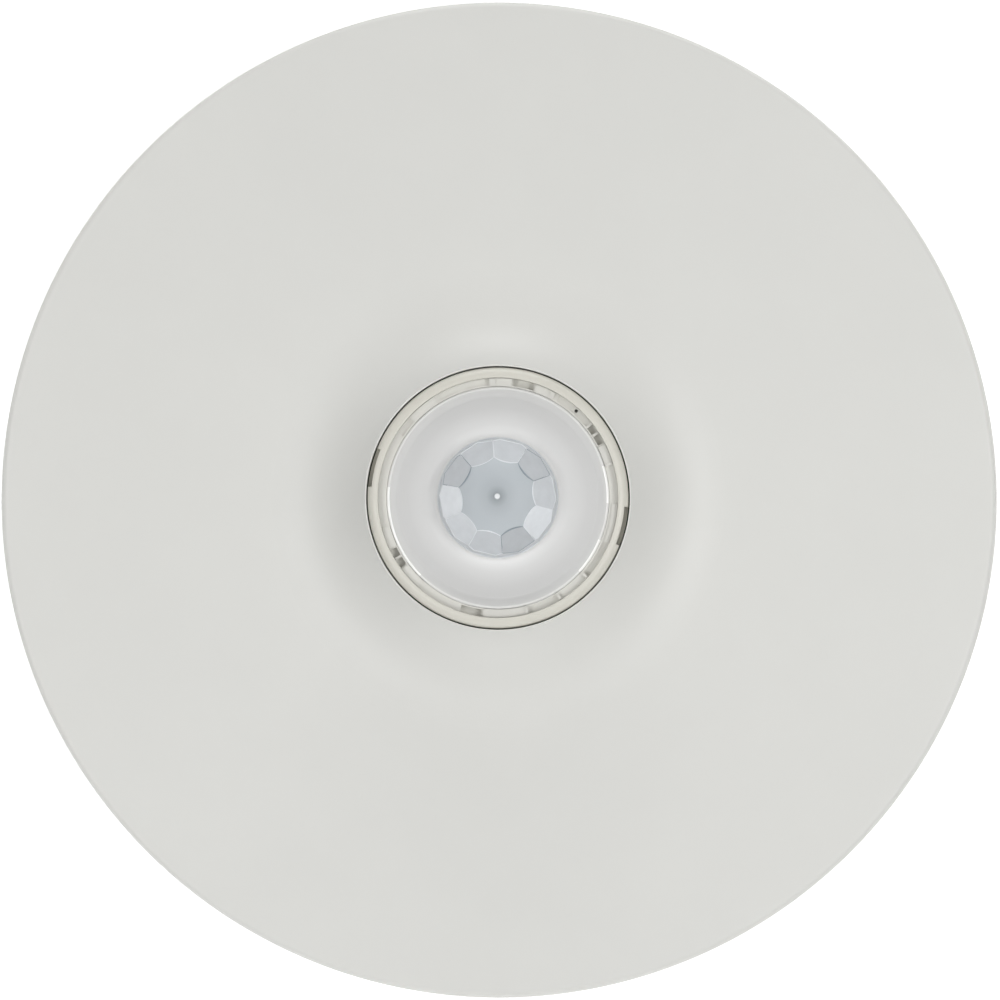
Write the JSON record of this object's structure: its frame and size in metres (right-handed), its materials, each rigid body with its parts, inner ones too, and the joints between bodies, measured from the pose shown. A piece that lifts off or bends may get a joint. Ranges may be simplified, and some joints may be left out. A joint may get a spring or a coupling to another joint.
{
  "type": "ceiling motion sensor",
  "caption": "Round ceiling-mount infrared motion sensor with a trumpet-nosed pull-off cover, twist-lock bezel ring and faceted dome lens.",
  "frame": {"origin": "centre of the back face, which lies against the ceiling box", "axes": "+Z is the way the sensor looks, away from the ceiling; +X and +Y lie in the ceiling; the wire opening is towards -Y and the box-screw slots lie along X"},
  "size_m": [0.116, 0.116, 0.0318],
  "materials": {
    "cover_plastic": "satin off-white, finely textured",
    "bezel_plastic": "satin cream",
    "carrier_plastic": "satin off-white",
    "lens_plastic": "frosted, translucent",
    "plate_plastic": "matte off-white",
    "barrel_plastic": "matte light grey",
    "zinc_steel": "zinc plated",
    "circuit_board": "green solder mask",
    "terminal_plastic": "matte green",
    "brass": "plain",
    "switch_plastic": "matte blue",
    "lever_plastic": "matte white",
    "trimmer_plastic": "matte blue",
    "dial_plastic": "matte orange",
    "black_plastic": "moulded black",
    "button_plastic": "matte red",
    "tinned_metal": "tin plated",
    "can_aluminium": "drawn",
    "ceramic_tan": "fired ceramic",
    "detector_steel": "nickel plated",
    "filter_pane": "polished, dark",
    "led_resin": "clear red resin",
    "photocell_resin": "clear over an orange face"
  },
  "bodies": {
    "base": {"mounting_plate": "plate_plastic", "lens_carrier": "carrier_plastic", "lens": "lens_plastic", "sensor_barrel": "barrel_plastic", "head_screws": "zinc_steel", "main_board": "circuit_board", "board_screws": "zinc_steel", "terminal_block": "terminal_plastic", "terminal_contacts": "brass", "dip_switch": "switch_plastic", "dip_switch_pins": "tinned_metal", "time_trimmer": "trimmer_plastic", "light_trimmer": "trimmer_plastic", "trimmer_pins": "tinned_metal", "test_button_base": "black_plastic", "test_button_frame": "tinned_metal", "test_button_pins": "tinned_metal", "microcontroller": "black_plastic", "microcontroller_legs": "tinned_metal", "voltage_regulator": "black_plastic", "regulator_tab": "tinned_metal", "output_transistor": "black_plastic", "capacitor_cans": "can_aluminium", "capacitor_bases": "black_plastic", "chip_resistors": "black_plastic", "chip_capacitors": "ceramic_tan", "diodes": "black_plastic", "board_header": "black_plastic", "header_pins": "brass", "head_socket": "black_plastic", "socket_tails": "tinned_metal", "sensor_board": "circuit_board", "amplifier_chip": "black_plastic", "pyro_spacer": "plate_plastic", "pyro_base": "detector_steel", "pyro_can": "detector_steel", "pyro_window": "filter_pane", "pyro_element": "ceramic_tan", "pyro_leads": "brass", "status_led": "led_resin", "photocell": "photocell_resin"},
    "cover": {"front_cover": "cover_plastic"},
    "bezel": {"bezel_ring": "bezel_plastic"},
    "time_rotor": {"time_dial": "dial_plastic"},
    "light_rotor": {"light_dial": "dial_plastic"},
    "button": {"test_button": "button_plastic"},
    "clamp_screw_1": {"terminal_screw_1": "zinc_steel"},
    "clamp_1": {"terminal_clamp_1": "brass"},
    "lever_1": {"dip_lever_1": "lever_plastic"},
    "clamp_screw_2": {"terminal_screw_2": "zinc_steel"},
    "clamp_2": {"terminal_clamp_2": "brass"},
    "lever_2": {"dip_lever_2": "lever_plastic"},
    "clamp_screw_3": {"terminal_screw_3": "zinc_steel"},
    "clamp_3": {"terminal_clamp_3": "brass"},
    "lever_3": {"dip_lever_3": "lever_plastic"},
    "clamp_screw_4": {"terminal_screw_4": "zinc_steel"},
    "clamp_4": {"terminal_clamp_4": "brass"},
    "lever_4": {"dip_lever_4": "lever_plastic"}
  },
  "joints": [
    {"name": "cover_pull", "type": "slide", "parent": "base", "child": "cover", "axis": [0, 0, 1], "range_m": [0, 0.04]},
    {"name": "bezel_turn", "type": "hinge", "parent": "base", "child": "bezel", "pos_m": [0, 0, 0.022], "axis": [0, 0, 1], "range_deg": [0, 20]},
    {"name": "time_dial_turn", "type": "hinge", "parent": "base", "child": "time_rotor", "pos_m": [0.029, 0.009, 0.01], "axis": [0, 0, -1], "range_deg": [0, 270]},
    {"name": "light_dial_turn", "type": "hinge", "parent": "base", "child": "light_rotor", "pos_m": [0.029, -0.006, 0.01], "axis": [0, 0, -1], "range_deg": [0, 270]},
    {"name": "test_button_press", "type": "slide", "parent": "base", "child": "button", "axis": [0, 0, -1], "range_m": [0, 0.0003], "stiffness_N_per_m": 2000},
    {"name": "lever_1_slide", "type": "slide", "parent": "base", "child": "lever_1", "axis": [1, 0, 0], "range_m": [0, 0.0015]},
    {"name": "lever_2_slide", "type": "slide", "parent": "base", "child": "lever_2", "axis": [1, 0, 0], "range_m": [0, 0.0015]},
    {"name": "lever_3_slide", "type": "slide", "parent": "base", "child": "lever_3", "axis": [1, 0, 0], "range_m": [0, 0.0015]},
    {"name": "lever_4_slide", "type": "slide", "parent": "base", "child": "lever_4", "axis": [1, 0, 0], "range_m": [0, 0.0015]},
    {"name": "clamp_screw_1_turn", "type": "hinge", "parent": "base", "child": "clamp_screw_1", "pos_m": [-0.00762, -0.0276, 0.012], "axis": [0, 0, -1], "range_deg": [0, 1152]},
    {"name": "clamp_1_rise", "type": "slide", "parent": "base", "child": "clamp_1", "axis": [0, 0, 1], "range_m": [0, 0.0016]},
    {"name": "clamp_screw_2_turn", "type": "hinge", "parent": "base", "child": "clamp_screw_2", "pos_m": [-0.00254, -0.0276, 0.012], "axis": [0, 0, -1], "range_deg": [0, 1152]},
    {"name": "clamp_2_rise", "type": "slide", "parent": "base", "child": "clamp_2", "axis": [0, 0, 1], "range_m": [0, 0.0016]},
    {"name": "clamp_screw_3_turn", "type": "hinge", "parent": "base", "child": "clamp_screw_3", "pos_m": [0.00254, -0.0276, 0.012], "axis": [0, 0, -1], "range_deg": [0, 1152]},
    {"name": "clamp_3_rise", "type": "slide", "parent": "base", "child": "clamp_3", "axis": [0, 0, 1], "range_m": [0, 0.0016]},
    {"name": "clamp_screw_4_turn", "type": "hinge", "parent": "base", "child": "clamp_screw_4", "pos_m": [0.00762, -0.0276, 0.012], "axis": [0, 0, -1], "range_deg": [0, 1152]},
    {"name": "clamp_4_rise", "type": "slide", "parent": "base", "child": "clamp_4", "axis": [0, 0, 1], "range_m": [0, 0.0016]}
  ],
  "couplings": [
    {"joint": "clamp_screw_1_turn", "follows": "clamp_1_rise", "rad_per_m": 12566},
    {"joint": "clamp_screw_2_turn", "follows": "clamp_2_rise", "rad_per_m": 12566},
    {"joint": "clamp_screw_3_turn", "follows": "clamp_3_rise", "rad_per_m": 12566},
    {"joint": "clamp_screw_4_turn", "follows": "clamp_4_rise", "rad_per_m": 12566}
  ]
}
